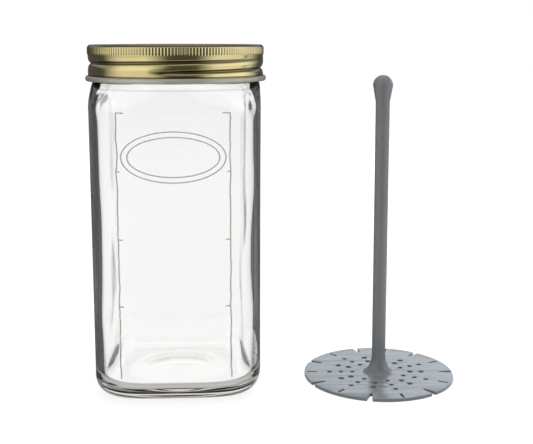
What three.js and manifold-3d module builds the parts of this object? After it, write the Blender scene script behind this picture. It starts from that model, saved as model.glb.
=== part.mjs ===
// A pickle keeper: a square glass jar with a round screw finish, closed by a flat lid disc and a
// gold screw band, and the lift strainer that stands beside it, a slotted plate on a stem.
// Millimetres, +Z up. The pair stands on z = 0, with the origin in the middle of its footprint.
// Angles round an axis are counted from the front (-Y) towards the right (+X).

import * as THREE from "three";
import { mergeVertices } from "three/addons/utils/BufferGeometryUtils.js";
import Module from "manifold-3d";

const wasm = await Module();
wasm.setup();

// Clearances and facets

const seatGap = 0.15; // between pieces that rest on each other
const cutOverrun = 1; // how far a cutting tool reaches past the face that it cuts
const roundFacets = 48; // a multiple of 8, so that a squared wall has a vertex on each corner
const smallFacets = 24;
const sweepStepsPerTurn = 40; // along a thread

// The glass jar. The finish is its mouth's outside, which fixes the size of the closure.

const jarHeight = 170; // floor to sealing rim
const neckRadius = 41.5; // outside of the finish, between its threads
const finishWall = 2.3;
const rimRound = 1.1;
const shoulderSwell = 0.5; // how far a side stands out from the neck
const shoulderDrop = 3.2; // height in which a side swells from the neck to the body
const cornerDrop = 16; // height in which the round neck becomes the square body
const bodyDraft = 0.5; // how much a side draws in from shoulder to heel
const glassWall = 3.2;
const glassFloor = 6;
const bodyExponent = 4.6; // of the superellipse that squares the outside: 2 is round
const cavityExponent = 4; // the cavity is rounder, so the glass is thickest in the corners
const heelRadius = 9.5; // the round edge where the sides meet the base
const cavityHeelRadius = 7;
const standingWidth = 5; // of the flat ring that the jar stands on
const puntHeight = 2.6; // of the hollow inside that ring

// The screw thread, which the glass and the band share

const threadPitch = 4.6; // rise of one turn
const threadTurns = 1.1;
const threadRadius = 1.25; // of the glass ridge's round section
const threadRootInset = 0.1; // how far the ridge's centre line lies inside the neck's face
const threadRunOut = 1.6; // how far the ridge dives into the neck at its ends
const threadRunOutShare = 0.08; // of the ridge's length, at each end

// The screw band, pressed from thin tinplate

const bandHeight = 17.8;
const bandSheet = 0.4;
const skirtClearance = 0.65; // between the glass ridge and the inside of the skirt
const bandCornerRadius = 1.2; // outside, where the flange turns down into the skirt
const knurlCount = 168;
const knurlDepth = 0.35;
const knurlHeight = 3.7;
const knurlDrop = 1.5; // top of the band to the top of the knurl
const grooveDepth = 1.3;
const grooveToolRadius = 1.6;
const grooveHeight = 5.4; // band's lower edge to the groove where it starts
const grooveTurns = 1.25;
const grooveStartTurn = -0.04; // the start's place round the band, in turns from the front
const grooveRunOutShare = 0.06; // of the groove's length, at each end
const curlRadius = 0.75; // middle of the sheet, in the outward curl of the lower edge
const curlEnd = 465; // degrees: the curl runs from 180, inside the skirt, round to here

// The lid disc and its sealing compound

const discSheet = 0.3;
const discClearance = 0.5; // between the disc's edge and the inside of the skirt
const wellClearance = 1.4; // between the mouth and the step that drops into it
const discWellDepth = 0.9;
const discPanelMargin = 6.8; // from the step to the raised panel in the middle
const discPanelRise = 0.6;
const discStepWidth = 1; // each step's slope, measured along the radius
const flangeMargin = 1.4; // from the disc's step out to the edge of the band's opening
const sealInset = 0.4; // from the mouth to the compound's inner edge
const sealWidth = 2.6;
const sealThickness = 0.9;

// The lift strainer

const lidClearance = 4.7; // over the knob, when the strainer stands in the closed jar
const mouthClearance = 0.5; // round the plate as it passes the mouth
const plateThickness = 1.6;
const sectorCount = 7; // each sector has one open notch and one closed slot
const notchLength = 6.9;
const notchRootWidth = 1;
const notchMouthWidth = 2.8;
const slotLength = 5.2;
const slotWidth = 1.2;
const slotMargin = 1.3; // of plate left between a closed slot and the rim
const wideHoleRadius = 1.45;
const wideHoleShares = [0.43, 0.58]; // of the plate's radius: where the wide holes lie
const fineHoleRadius = 1.2;
const fineHoleShares = [0.353, 0.508, 0.663];
const holeFacets = 8;
const plateTurn = 2.6; // degrees, clockwise from above: the first notch points nearly right
const spigotRadius = 3.3;
const spigotClearance = 0.3;
const stakeSpread = 0.9; // how far the stem's end is spread into the plate's countersink
const stakeInset = 0.3; // the spread end lies this far above the floor
const stakeHeight = 0.3;
const stemRadiusLow = 3.5;
const stemRadiusHigh = 3.55;
const flareWidth = 5.4; // how far the trumpet foot stands out from the stem
const flareHeight = 10.5;
const footLip = 0.3;
const knobRadius = 5.03;
const knobNeckLength = 8.6; // from the ball's centre down to the plain stem
const knobNeckAngle = -14; // degrees: where the ball's round runs into its neck

// Where the two stand

const standGap = 20.1; // between the band and the plate, from the front
const lifterForward = 5.5;

// Sizes worked out from the ones above

const mouthRadius = neckRadius - finishWall;
const bodyHalfWidthTop = neckRadius + shoulderSwell; // axis to the middle of a side
const bodyHalfWidthBase = bodyHalfWidthTop - bodyDraft;
const puntRadius = bodyHalfWidthBase - heelRadius - standingWidth;

const ridgeRadius = neckRadius - threadRootInset + threadRadius; // top of the glass thread
const skirtInside = ridgeRadius + skirtClearance;
const skirtRadius = skirtInside + bandSheet;
const bandOuterRadius = skirtRadius + 2 * curlRadius;
const discRadius = skirtInside - discClearance;
const discWellRadius = mouthRadius - wellClearance;
const discPanelRadius = discWellRadius - discPanelMargin;
const flangeInnerRadius = discWellRadius + flangeMargin;
const sealInnerRadius = mouthRadius + sealInset;
const sealOuterRadius = sealInnerRadius + sealWidth;

const sealBottom = jarHeight + seatGap;
const discSeatBottom = sealBottom + sealThickness + seatGap;
const flangeBottom = discSeatBottom + discSheet + seatGap;
const bandTop = flangeBottom + bandSheet;
const bandBottom = bandTop - bandHeight;
const shoulderTop = bandBottom - seatGap * 3;
const grooveStartHeight = bandBottom + grooveHeight;

const plateRadius = mouthRadius - mouthClearance;
const notchInnerRadius = plateRadius - notchLength;
const slotOuterRadius = plateRadius - slotMargin;
const slotInnerRadius = slotOuterRadius - slotLength;
const stakeRadius = spigotRadius + stakeSpread;
const footRadius = stemRadiusLow + flareWidth;
const wellBottom = discSeatBottom - discWellDepth;
const lifterHeight = wellBottom - glassFloor - puntHeight - lidClearance;
const lifterRight = bandOuterRadius + standGap + plateRadius; // from axis to axis

// Points of a turned profile are { r, z, exponent }: the exponent is that of the superellipse
// that the point is pushed out to, and 2 leaves it on its circle.

const roundExponent = 2;

function spot(r, z, exponent = roundExponent) {
  return { r, z, exponent };
}

function arc(centreR, centreZ, radiusR, radiusZ, from, to, steps, exponent) {
  return Array.from({ length: steps + 1 }, (_, i) => {
    const angle = THREE.MathUtils.degToRad(from + ((to - from) * i) / steps);
    const r = centreR + radiusR * Math.cos(angle);
    const z = centreZ + radiusZ * Math.sin(angle);
    return spot(r, z, exponent);
  });
}

// Turns a profile round the Z axis, and pushes each ring out to its superellipse.
function turned(profile, facets) {
  const geometry = new THREE.LatheGeometry(
    profile.map((p) => new THREE.Vector2(p.r, p.z)),
    facets,
  ).rotateX(Math.PI / 2);
  const position = geometry.getAttribute("position");
  for (let i = 0; i < position.count; i++) {
    const { r, exponent } = profile[i % profile.length];
    if (r === 0 || exponent === roundExponent) continue;
    const x = position.getX(i);
    const y = position.getY(i);
    const across = Math.abs(x / r) ** exponent + Math.abs(y / r) ** exponent;
    const push = across ** (-1 / exponent);
    position.setXY(i, x * push, y * push);
  }
  return geometry;
}

// A three.js geometry as a manifold solid, and back.
function solidOf(geometry) {
  const bare = new THREE.BufferGeometry()
    .setAttribute("position", geometry.getAttribute("position"))
    .setIndex(geometry.index);
  const merged = mergeVertices(bare);
  const corners = merged.index.array;
  const faces = [];
  for (let i = 0; i < corners.length; i += 3) {
    const [a, b, c] = corners.slice(i, i + 3);
    if (a !== b && b !== c && c !== a) faces.push(a, b, c);
  }
  return new wasm.Manifold(
    new wasm.Mesh({
      numProp: 3,
      vertProperties: new Float32Array(merged.getAttribute("position").array),
      triVerts: new Uint32Array(faces),
    }),
  );
}

function geometryOf(solid) {
  const mesh = solid.getMesh();
  return new THREE.BufferGeometry()
    .setAttribute("position", new THREE.BufferAttribute(mesh.vertProperties, 3))
    .setIndex(new THREE.BufferAttribute(mesh.triVerts, 1));
}

// The helix that the glass ridge and the band's groove follow. Both ends leave it by runOut,
// inwards where that is negative, in the share of the length that runOutShare gives.
class Helix extends THREE.Curve {
  constructor(radius, startHeight, startTurn, turns, runOut, runOutShare) {
    super();
    Object.assign(this, { radius, startHeight, startTurn, turns, runOut, runOutShare });
  }

  getPoint(t, target = new THREE.Vector3()) {
    const toEnd = Math.min(t, 1 - t) / this.runOutShare;
    const left = toEnd < 1 ? (1 + Math.cos(Math.PI * toEnd)) / 2 : 0;
    const r = this.radius + this.runOut * left;
    const angle = 2 * Math.PI * (this.startTurn + this.turns * t);
    const z = this.startHeight + threadPitch * this.turns * t;
    return target.set(r * Math.sin(angle), -r * Math.cos(angle), z);
  }
}

function sweptRound(path, radius, sides) {
  const section = new THREE.Shape().absarc(0, 0, radius, 0, 2 * Math.PI);
  return new THREE.ExtrudeGeometry(section, {
    steps: Math.round(sweepStepsPerTurn * path.turns),
    curveSegments: sides / 2,
    extrudePath: path,
  });
}

// The jar: one turned profile, closed at the axis, squared below its shoulder. It runs from the
// middle of the base's underside, up the outside, over the rim and down to the cavity's floor.
// The corners swell like a quarter round from the neck's circle, so the reach of a corner is
// chosen first, and the exponent that reaches it follows.
function wallExponent(z, full) {
  const t = THREE.MathUtils.clamp((shoulderTop - z) / cornerDrop, 0, 1);
  const fullReach = 2 ** (1 / roundExponent - 1 / full);
  const reach = 1 + (fullReach - 1) * Math.sin((Math.PI / 2) * t);
  return 1 / (1 / roundExponent - Math.log2(reach));
}

function shoulderPoints(insideRadius, sideRadius, top, full, steps) {
  const swellBottom = top - shoulderDrop;
  const swell = arc(insideRadius, swellBottom, sideRadius - insideRadius, shoulderDrop, 90, 0, 3);
  const corners = Array.from({ length: steps }, (_, i) => {
    const z = swellBottom - ((cornerDrop - shoulderDrop) * (i + 1)) / steps;
    return spot(sideRadius, z);
  });
  return [...swell, ...corners].map((p) => spot(p.r, p.z, wallExponent(p.z, full)));
}

function jarGeometry() {
  const puntSteps = 4;
  const punt = Array.from({ length: puntSteps }, (_, i) => {
    const share = i / puntSteps;
    return spot(puntRadius * share, puntHeight * Math.cos((Math.PI / 2) * share) ** 2);
  });
  const heel = arc(
    bodyHalfWidthBase - heelRadius, heelRadius, heelRadius, heelRadius, -90, 0, 5, bodyExponent,
  );
  const shoulder = shoulderPoints(neckRadius, bodyHalfWidthTop, shoulderTop, bodyExponent, 5);
  const rim = [
    ...arc(neckRadius - rimRound, jarHeight - rimRound, rimRound, rimRound, 0, 90, 3),
    ...arc(mouthRadius + rimRound, jarHeight - rimRound, rimRound, rimRound, 90, 180, 3),
  ];
  const cavityTop = bodyHalfWidthTop - glassWall;
  const cavityBase = bodyHalfWidthBase - glassWall;
  const innerShoulder = shoulderPoints(mouthRadius, cavityTop, shoulderTop, cavityExponent, 4);
  const innerHeel = arc(
    cavityBase - cavityHeelRadius, glassFloor + cavityHeelRadius,
    cavityHeelRadius, cavityHeelRadius, 0, -90, 4, cavityExponent,
  );
  const floorSteps = 3;
  const floor = Array.from({ length: floorSteps }, (_, i) => {
    const share = 1 - (i + 1) / floorSteps;
    return spot(puntRadius * share, glassFloor + puntHeight * Math.cos((Math.PI / 2) * share) ** 2);
  });
  const profile = [
    ...punt,
    spot(puntRadius, 0),
    ...heel,
    ...shoulder.reverse(),
    ...rim,
    ...innerShoulder,
    ...innerHeel,
    ...floor,
  ];
  const ridge = new Helix(
    neckRadius - threadRootInset,
    grooveStartHeight + threadPitch / 2,
    grooveStartTurn,
    threadTurns,
    -threadRunOut,
    threadRunOutShare,
  );
  const thread = solidOf(sweptRound(ridge, threadRadius, 8));
  return geometryOf(solidOf(turned(profile, roundFacets)).add(thread));
}

// The screw band: a turned shell with a curled lower edge. Rolling presses one helical groove
// into the skirt, which stands inside as the ridge that grips under the glass thread. The knurl
// is a toothed ring round the top of the skirt.

function bandShell() {
  const sheetMiddle = skirtRadius - bandSheet / 2;
  const curlOutside = curlRadius + bandSheet / 2;
  const curlInside = curlRadius - bandSheet / 2;
  const curlR = sheetMiddle + curlRadius;
  const curlZ = bandBottom + curlOutside;
  const cornerR = skirtRadius - bandCornerRadius;
  const cornerZ = bandTop - bandCornerRadius;
  const innerCorner = bandCornerRadius - bandSheet;
  const profile = [
    ...arc(curlR, curlZ, curlOutside, curlOutside, 180, curlEnd, 7),
    ...arc(curlR, curlZ, curlInside, curlInside, curlEnd, 180, 6),
    ...arc(cornerR, cornerZ, bandCornerRadius, bandCornerRadius, 0, 90, 3),
    spot(flangeInnerRadius, bandTop),
    spot(flangeInnerRadius, flangeBottom),
    ...arc(cornerR, cornerZ, innerCorner, innerCorner, 90, 0, 2),
  ];
  return turned([...profile, profile[0]], roundFacets);
}

function knurlRing() {
  const outline = new THREE.Shape();
  for (let i = 0; i < 2 * knurlCount; i++) {
    const angle = (Math.PI * i) / knurlCount;
    const r = skirtRadius + (i % 2 ? knurlDepth : 0);
    const [x, y] = [r * Math.cos(angle), r * Math.sin(angle)];
    if (i === 0) outline.moveTo(x, y);
    else outline.lineTo(x, y);
  }
  outline.closePath();
  const bore = new THREE.Path();
  for (let i = 0; i < roundFacets; i++) {
    const angle = (2 * Math.PI * i) / roundFacets;
    const r = skirtRadius - bandSheet / 2;
    const [x, y] = [r * Math.cos(angle), r * Math.sin(angle)];
    if (i === 0) bore.moveTo(x, y);
    else bore.lineTo(x, y);
  }
  bore.closePath();
  outline.holes.push(bore);
  const ring = new THREE.ExtrudeGeometry(outline, { depth: knurlHeight, bevelEnabled: false });
  return ring.translate(0, 0, bandTop - knurlDrop - knurlHeight);
}

function bandGeometry() {
  const groove = new Helix(
    skirtRadius - grooveDepth + grooveToolRadius,
    grooveStartHeight,
    grooveStartTurn,
    grooveTurns,
    grooveDepth + 2 * bandSheet,
    grooveRunOutShare,
  );
  const core = turned(
    [spot(0, bandBottom), spot(skirtRadius, bandBottom), spot(skirtRadius, bandTop), spot(0, bandTop)],
    roundFacets,
  );
  const ridge = solidOf(sweptRound(groove, grooveToolRadius + bandSheet, 12));
  const tool = solidOf(sweptRound(groove, grooveToolRadius, 12));
  const band = solidOf(bandShell())
    .add(ridge.intersect(solidOf(core)))
    .subtract(tool)
    .add(solidOf(knurlRing()));
  return geometryOf(band);
}

// The lid disc: thin tinplate with a flat seat round the edge, a step down into the mouth and a
// raised panel. The sealing compound is a flat ring under the seat.

function discGeometry() {
  const wellOut = discWellRadius;
  const wellIn = discWellRadius - discStepWidth;
  const panelOut = discPanelRadius + discStepWidth;
  const panelBottom = wellBottom + discPanelRise;
  const underside = [
    spot(0, panelBottom),
    spot(discPanelRadius, panelBottom),
    spot(panelOut, wellBottom),
    spot(wellIn, wellBottom),
    spot(wellOut, discSeatBottom),
    spot(discRadius, discSeatBottom),
  ];
  const topside = underside.map((p) => spot(p.r, p.z + discSheet)).reverse();
  return turned([...underside, ...topside], roundFacets);
}

function sealGeometry() {
  const sealTop = sealBottom + sealThickness;
  const profile = [
    spot(sealInnerRadius, sealBottom),
    spot(sealOuterRadius, sealBottom),
    spot(sealOuterRadius, sealTop),
    spot(sealInnerRadius, sealTop),
    spot(sealInnerRadius, sealBottom),
  ];
  return turned(profile, roundFacets);
}

// The strainer plate: a flat disc whose rim is cut by open notches and closed slots in turn, with
// a row of two wide holes inside each notch and of three fine holes inside each slot.

function along(angle, r, side) {
  const x = r * Math.cos(angle) - side * Math.sin(angle);
  const y = r * Math.sin(angle) + side * Math.cos(angle);
  return [x, y];
}

function plateGeometry() {
  const sector = (2 * Math.PI) / sectorCount;
  const halfMouth = notchMouthWidth / 2;
  const mouthAngle = Math.asin(halfMouth / plateRadius);
  const outline = new THREE.Shape();
  outline.moveTo(...along(0, plateRadius * Math.cos(mouthAngle), halfMouth));
  for (let i = 0; i < sectorCount; i++) {
    const next = sector * (i + 1);
    outline.absarc(0, 0, plateRadius, sector * i + mouthAngle, next - mouthAngle, false);
    outline.lineTo(...along(next, notchInnerRadius, -notchRootWidth / 2));
    outline.lineTo(...along(next, notchInnerRadius, notchRootWidth / 2));
  }
  outline.closePath();
  const hole = (angle, r, radius) => {
    const [x, y] = along(angle, r, 0);
    const path = new THREE.Path();
    for (let i = 0; i <= holeFacets; i++) {
      const turn = (-2 * Math.PI * i) / holeFacets;
      const at = [x + radius * Math.cos(turn), y + radius * Math.sin(turn)];
      if (i === 0) path.moveTo(...at);
      else path.lineTo(...at);
    }
    outline.holes.push(path);
  };
  for (let i = 0; i < sectorCount; i++) {
    const notchAngle = sector * i;
    const slotAngle = sector * (i + 1 / 2);
    wideHoleShares.forEach((share) => hole(notchAngle, plateRadius * share, wideHoleRadius));
    fineHoleShares.forEach((share) => hole(slotAngle, plateRadius * share, fineHoleRadius));
    const half = slotWidth / 2;
    const slot = new THREE.Path();
    slot.moveTo(...along(slotAngle, slotInnerRadius, -half));
    slot.lineTo(...along(slotAngle, slotInnerRadius, half));
    slot.lineTo(...along(slotAngle, slotOuterRadius, half));
    slot.lineTo(...along(slotAngle, slotOuterRadius, -half));
    slot.closePath();
    outline.holes.push(slot);
  }
  const blank = new THREE.ExtrudeGeometry(outline, {
    depth: plateThickness,
    bevelEnabled: false,
    curveSegments: 8,
  });
  return geometryOf(solidOf(blank).subtract(solidOf(spigotSeat())));
}

// The stem's seat in the plate: a bore with a countersink under it.
function spigotSeat() {
  const bore = spigotRadius + spigotClearance;
  const wide = stakeRadius + spigotClearance;
  const coneTop = stakeInset + stakeHeight + (stakeRadius - spigotRadius) + spigotClearance;
  return turned(
    [
      spot(0, -cutOverrun),
      spot(wide, -cutOverrun),
      spot(wide, coneTop - (wide - bore)),
      spot(bore, coneTop),
      spot(bore, plateThickness + cutOverrun),
      spot(0, plateThickness + cutOverrun),
    ],
    smallFacets,
  );
}

// The stem: a staked spigot, a trumpet foot that sits on the plate, a slightly tapered rod and a
// ball knob on a conical neck, all turned in one.

function stemGeometry() {
  const coneBottom = stakeInset + stakeHeight;
  const footBottom = plateThickness + seatGap;
  const flareBottom = footBottom + footLip;
  const knobCentre = lifterHeight - knobRadius;
  const profile = [
    spot(0, stakeInset),
    spot(stakeRadius, stakeInset),
    spot(stakeRadius, coneBottom),
    spot(spigotRadius, coneBottom + (stakeRadius - spigotRadius)),
    spot(spigotRadius, footBottom),
    spot(footRadius, footBottom),
    ...arc(
      footRadius, flareBottom + flareHeight, footRadius - stemRadiusLow, flareHeight, 270, 180, 6,
    ),
    spot(stemRadiusHigh, knobCentre - knobNeckLength),
    ...arc(0, knobCentre, knobRadius, knobRadius, knobNeckAngle, 90, 7).slice(0, -1),
    spot(0, lifterHeight),
  ];
  return turned(profile, smallFacets);
}

// The assembly

const finishes = {
  glass: { color: 0xeef2f0, roughness: 0.05, metalness: 0, transparent: true, opacity: 0.35 },
  goldLacquer: { color: 0xc9b873, roughness: 0.3, metalness: 1 },
  compound: { color: 0xe9e4d8, roughness: 0.6, metalness: 0 },
  greyPlastic: { color: 0x8b9095, roughness: 0.45, metalness: 0 },
};

function piece(name, geometry, finish) {
  const material = new THREE.MeshStandardMaterial(finishes[finish]);
  material.name = finish;
  const mesh = new THREE.Mesh(geometry, material);
  mesh.name = name;
  return mesh;
}

// The footprint runs from the band's curl to the plate's far edge, and its middle is the origin.
const frontEdge = Math.max(bandOuterRadius, plateRadius + lifterForward);
const backEdge = Math.max(bandOuterRadius, plateRadius - lifterForward);

const jar = new THREE.Group();
jar.position.set(
  (bandOuterRadius - lifterRight - plateRadius) / 2,
  (frontEdge - backEdge) / 2,
  0,
);
jar.add(
  piece("glass_jar", jarGeometry(), "glass"),
  piece("sealing_ring", sealGeometry(), "compound"),
  piece("lid_disc", discGeometry(), "goldLacquer"),
  piece("screw_band", bandGeometry(), "goldLacquer"),
);

const lifter = new THREE.Group();
lifter.position.set(jar.position.x + lifterRight, jar.position.y - lifterForward, 0);
lifter.rotation.z = -THREE.MathUtils.degToRad(plateTurn);
lifter.add(
  piece("strainer_plate", plateGeometry(), "greyPlastic"),
  piece("lifter_stem", stemGeometry(), "greyPlastic"),
);

const keeper = new THREE.Group();
keeper.add(jar, lifter);

export default keeper;
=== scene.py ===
from math import atan2, ceil, cos, hypot, log2, pi, radians, sin

import bmesh
import bpy
from mathutils import Matrix, Vector, noise


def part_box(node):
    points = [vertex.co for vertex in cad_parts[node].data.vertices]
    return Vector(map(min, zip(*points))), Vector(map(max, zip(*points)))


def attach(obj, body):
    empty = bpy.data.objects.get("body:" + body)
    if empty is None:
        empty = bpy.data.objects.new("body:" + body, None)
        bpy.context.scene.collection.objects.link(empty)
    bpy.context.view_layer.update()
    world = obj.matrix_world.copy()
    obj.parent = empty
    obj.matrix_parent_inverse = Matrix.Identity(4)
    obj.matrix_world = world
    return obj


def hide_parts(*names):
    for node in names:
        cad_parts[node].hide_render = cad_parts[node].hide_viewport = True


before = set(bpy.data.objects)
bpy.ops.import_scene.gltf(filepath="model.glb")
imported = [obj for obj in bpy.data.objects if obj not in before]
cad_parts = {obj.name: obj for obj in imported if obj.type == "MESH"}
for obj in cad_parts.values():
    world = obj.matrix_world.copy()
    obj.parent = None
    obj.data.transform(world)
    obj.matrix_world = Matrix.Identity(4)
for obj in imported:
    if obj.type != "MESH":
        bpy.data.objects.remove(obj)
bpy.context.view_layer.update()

# The place that the photograph was taken from: a long lens at the height of the lid, turned a
# little to the right, with the film shifted down so that the jar's sides stay upright.

MM = 0.001
PHOTO_WIDTH = 533
SENSOR_WIDTH = 36
FOCAL_PIXELS = 961.3
SHIFT_PIXELS = -50
CAMERA_PLACE = Vector((-27.35, -487.6, 176.7)) * MM
CAMERA_DOWN = 8.103
CAMERA_RIGHT = 2.826
NEAR_CLIP = 0.01

scene = bpy.context.scene
camera_data = bpy.data.cameras.new("camera")
camera_data.sensor_width = SENSOR_WIDTH
camera_data.lens = FOCAL_PIXELS / PHOTO_WIDTH * SENSOR_WIDTH
camera_data.shift_y = SHIFT_PIXELS / PHOTO_WIDTH
camera_data.clip_start = NEAR_CLIP
camera = bpy.data.objects.new("camera", camera_data)
scene.collection.objects.link(camera)
camera.location = CAMERA_PLACE
camera.rotation_euler = (radians(90 - CAMERA_DOWN), 0, radians(-CAMERA_RIGHT))
scene.camera = camera
scene.view_settings.view_transform = "Standard"

# The studio: a white floor that runs into a white surround, soft lamps, and one dark card in front
# and a wider one behind, which polished metal shows as dark bands. The cards are darker bearings of
# the world's light, and mirror rays see the floor glow with a painted reflection of them and of the
# lamps. Glass shows a dark surround where a ray has only passed along the inside of a wall. Turns
# and halves of cards are in degrees.

SURROUND_LIGHT = 0.5
CARD_LIGHT = 0.095
PANEL_LIGHT = 1.4
FLOOR_PANEL_LIGHT = (1.2, 0.85)
FLOOR_PANEL_REACH = (0.35, 1.2)
CEILING_SHARE = 0.5
CEILING_LOW, CEILING_HIGH = 0.35, 0.75
FRONT_CARD_TURN, BACK_CARD_TURN = 11, 16
FRONT_CARD_HALF, FRONT_CARD_BLUR = 31, 20
BACK_CARD_HALF, BACK_CARD_BLUR = 74, 24
BACK_CARD_TOP, BACK_CARD_END = 0.16, 0.26
OVER_BACK_SHARE = 0.3
CARDS_TOP, CARDS_END = 0.5, 0.8
WORLD_THROUGH = 1.2
FLOOR_THROUGH = (0.69, 0.63)
FLOOR_THROUGH_REACH = (0.6, 3.0)
EDGE_LIGHT = 0.016
EDGE_LIGHT_UP = 1.1
EDGE_UP_LOW, EDGE_UP_HIGH = 0.0, 0.12
FLOOR_GLOW_SHARE, GLOW_SHARE_THROUGH = 0.52, 1.0
FLOOR_GLOW, GLOW_THROUGH = (1.33, 1.55), 1.51
FLOOR_GLOW_REACH = (0.1, 0.5)
NEAR_FLOOR_LIGHT = 0.6
NEAR_FLOOR_FROM, NEAR_FLOOR_TO = 0.08, 0.22
NEAR_FLOOR_SIDES = (60, 110)
UNDER_JAR_LIGHT = 0.36
UNDER_JAR_FROM, UNDER_JAR_TO = 0.045, 0.065
FOOT_LIGHT = 0.45
FOOT_FROM, FOOT_TO = 0.045, 0.10
FLOOR_SIZE = 8.0
PAPER = "#f4f4f4"
COOL_LIGHT = (0.80, 0.91, 1.0)
OPEN_LIGHT = 1.0
SAME_LIGHT = 0.001
WALL_SURFACES = 2.0
HALF_A_STEP = 0.5
WHITE, BLACK = (1, 1, 1, 1), (0, 0, 0, 1)
SMOOTH = {"interpolation_type": "SMOOTHSTEP"}


def node(tree, kind, inputs=(), out=0, **settings):
    """Adds a node with its settings, and gives its output. Inputs go by place or by name, and
    each takes a value, or a link from another node's output."""
    made = tree.nodes.new("ShaderNode" + kind)
    for name, value in settings.items():
        setattr(made, name, value)
    for place, value in inputs.items() if isinstance(inputs, dict) else enumerate(inputs):
        if isinstance(value, bpy.types.NodeSocket):
            tree.links.new(value, made.inputs[place])
        else:
            made.inputs[place].default_value = value
    if out is None:
        return made.outputs
    return made.outputs[out] if made.outputs else None


def linear(hex_colour):
    """An sRGB hex colour as the linear colour that a socket takes."""
    parts = [int(hex_colour[i : i + 2], 16) / 255 for i in (1, 3, 5)]
    return (*[p / 12.92 if p <= 0.04045 else ((p + 0.055) / 1.055) ** 2.4 for p in parts], 1)


def rays(tree, through, edge):
    """How much a ray looks at the white studio, how much it is a mirror image of the studio, and
    the light of the white: through behind glass, and edge where a ray has passed two surfaces
    alone, so that it went into a wall and out again without crossing the jar."""
    path = node(tree, "LightPath", out=None)
    passed = path["Is Transmission Ray"]
    direct = node(tree, "Math", [path["Diffuse Depth"], HALF_A_STEP], operation="LESS_THAN")
    looks = node(tree, "Math", [path["Is Camera Ray"], passed], operation="MAXIMUM")
    sight = node(tree, "Math", [looks, direct], operation="MULTIPLY")
    unbent = node(tree, "Math", [direct, passed], operation="SUBTRACT", use_clamp=True)
    gloss = node(tree, "Math", [path["Is Glossy Ray"], unbent], operation="MULTIPLY")
    surfaces = [path["Transmission Depth"], WALL_SURFACES, HALF_A_STEP]
    one_wall = node(tree, "Math", surfaces, operation="COMPARE")
    behind = node(tree, "Mix", {0: one_wall, 2: through, 3: edge})
    bare = node(tree, "Mix", {0: passed, 2: OPEN_LIGHT, 3: behind})
    return sight, gloss, bare


def lamps_seen(tree, x, y):
    """How little the front card and the back card hide of the lamps, on the bearing x, y from
    the jar, and the angle between that bearing and the middle of the front card. The back card
    stands opposite its own turn."""
    front_y = node(tree, "Math", [y, -1.0], operation="MULTIPLY")
    bearing = node(tree, "Math", [x, front_y], operation="ARCTAN2")
    turned = node(tree, "Math", [bearing, radians(FRONT_CARD_TURN)], operation="SUBTRACT")
    from_front = node(tree, "Math", [turned], operation="ABSOLUTE")
    turned = node(tree, "Math", [bearing, radians(BACK_CARD_TURN)], operation="SUBTRACT")
    from_opposite = node(tree, "Math", [turned], operation="ABSOLUTE")
    past_back = node(tree, "Math", [pi, from_opposite], operation="SUBTRACT")
    from_back = node(tree, "Math", [past_back], operation="ABSOLUTE")
    beside = []
    for angle, half, blur in (
        (from_front, FRONT_CARD_HALF, FRONT_CARD_BLUR),
        (from_back, BACK_CARD_HALF, BACK_CARD_BLUR),
    ):
        edge = [angle, radians(half - blur), radians(half + blur), 0.0, 1.0]
        beside.append(node(tree, "MapRange", edge, **SMOOTH))
    return *beside, from_front


world = bpy.data.worlds.new("studio")
scene.world = world
world.use_nodes = True
tree = world.node_tree
tree.nodes.clear()
way = node(tree, "SeparateXYZ", [node(tree, "TexCoord", out="Generated")], out=None)
edge = node(
    tree, "MapRange", [way["Z"], EDGE_UP_LOW, EDGE_UP_HIGH, EDGE_LIGHT, EDGE_LIGHT_UP], **SMOOTH
)
sight, gloss, bare = rays(tree, WORLD_THROUGH, edge)
beside_front, beside_back, from_front = lamps_seen(tree, way["X"], way["Y"])
over_back = node(
    tree, "MapRange", [way["Z"], BACK_CARD_TOP, BACK_CARD_END, 0.0, OVER_BACK_SHARE], **SMOOTH
)
clear_back = node(tree, "Math", [beside_back, over_back], operation="MAXIMUM")
between = node(tree, "Math", [beside_front, clear_back], operation="MINIMUM")
over_cards = node(tree, "MapRange", [way["Z"], CARDS_TOP, CARDS_END, 0.0, 1.0], **SMOOTH)
lit = node(tree, "Math", [between, over_cards], operation="MAXIMUM")
ceiling_light = PANEL_LIGHT * CEILING_SHARE
ceiling = node(
    tree, "MapRange", [way["Z"], CEILING_LOW, CEILING_HIGH, PANEL_LIGHT, ceiling_light], **SMOOTH
)
panel = node(tree, "Math", [lit, ceiling], operation="MULTIPLY")
shine = node(tree, "Math", [panel, CARD_LIGHT], operation="MAXIMUM")
plain = node(tree, "Mix", {0: gloss, 2: SURROUND_LIGHT, 3: shine})
strength = node(tree, "Mix", {0: sight, 2: plain, 3: bare})
node(tree, "OutputWorld", [node(tree, "Background", [WHITE, strength])])

JAR_LOW, JAR_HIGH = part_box("glass_jar")
JAR_X = (JAR_LOW.x + JAR_HIGH.x) / 2
floor_material = bpy.data.materials.new("glowing_white_floor")
floor_material.use_nodes = True
tree = floor_material.node_tree
tree.nodes.clear()
from_jar = node(
    tree, "Mapping", {"Vector": node(tree, "TexCoord", out="Object"), "Location": (-JAR_X, 0, 0)}
)
spot = node(tree, "SeparateXYZ", [from_jar], out=None)
away = node(tree, "VectorMath", [from_jar], out="Value", operation="LENGTH")
edge = node(
    tree, "MapRange", [away, UNDER_JAR_FROM, UNDER_JAR_TO, UNDER_JAR_LIGHT, EDGE_LIGHT], **SMOOTH
)
through = node(tree, "MapRange", [away, *FLOOR_THROUGH_REACH, *FLOOR_THROUGH])
sight, gloss, bare = rays(tree, through, edge)
paper = node(tree, "BsdfDiffuse", [linear(PAPER)])
open_view = node(tree, "Math", [bare, OPEN_LIGHT, SAME_LIGHT], operation="COMPARE")
open_glow = node(tree, "MapRange", [away, *FLOOR_GLOW_REACH, *FLOOR_GLOW])
glow_light = node(tree, "Mix", {0: open_view, 2: GLOW_THROUGH, 3: open_glow})
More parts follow.
